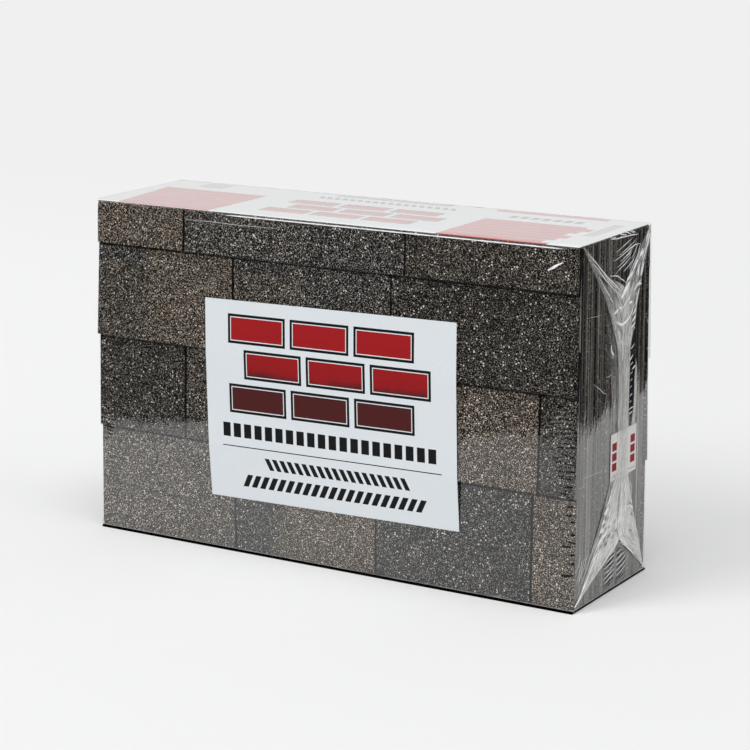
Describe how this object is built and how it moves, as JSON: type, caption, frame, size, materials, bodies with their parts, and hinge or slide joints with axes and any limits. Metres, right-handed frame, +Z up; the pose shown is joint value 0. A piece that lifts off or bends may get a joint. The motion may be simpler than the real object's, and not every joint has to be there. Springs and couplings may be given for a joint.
{
  "type": "asphalt shingle bundle",
  "caption": "Bundle of laminated asphalt shingles on its long edge, faced with lapped courses, with a white top sheet and labels, in clear film gathered at both ends.",
  "frame": {"origin": "middle of the base, on the surface the bundle stands on", "axes": "+X along the bundle's length, towards the end with the small label; -Y out of the front face with the large label; +Z up"},
  "size_m": [0.5472, 0.1574, 0.3388],
  "materials": {
    "granules": "rough mineral granules bonded in asphalt, charcoal and brown tabs with pale specks",
    "shingle_edges": "cut edges of two-ply shingles, dark asphalt with granules",
    "label_paper": "smooth white printed paper",
    "clear_film": "clear glossy shrink film, milky where it gathers"
  },
  "bodies": {
    "root": {"shingle_01": "shingle_edges", "shingle_02": "shingle_edges", "shingle_03": "shingle_edges", "shingle_04": "shingle_edges", "shingle_05": "shingle_edges", "shingle_06": "shingle_edges", "shingle_07": "shingle_edges", "shingle_08": "shingle_edges", "shingle_09": "shingle_edges", "shingle_10": "shingle_edges", "shingle_11": "shingle_edges", "shingle_12": "shingle_edges", "shingle_13": "shingle_edges", "shingle_14": "shingle_edges", "shingle_15": "shingle_edges", "shingle_16": "shingle_edges", "shingle_17": "shingle_edges", "shingle_18": "shingle_edges", "shingle_19": "shingle_edges", "shingle_20": "shingle_edges", "shingle_21": "shingle_edges", "shingle_22": "shingle_edges", "shingle_23": "shingle_edges", "front_course_1": "granules", "front_course_2": "granules", "front_course_3": "granules", "front_course_4": "granules", "back_course_1": "granules", "back_course_2": "granules", "back_course_3": "granules", "back_course_4": "granules", "front_label": "label_paper", "end_label": "label_paper", "top_sheet": "label_paper", "film_wrap": "clear_film"}
  },
  "joints": []
}
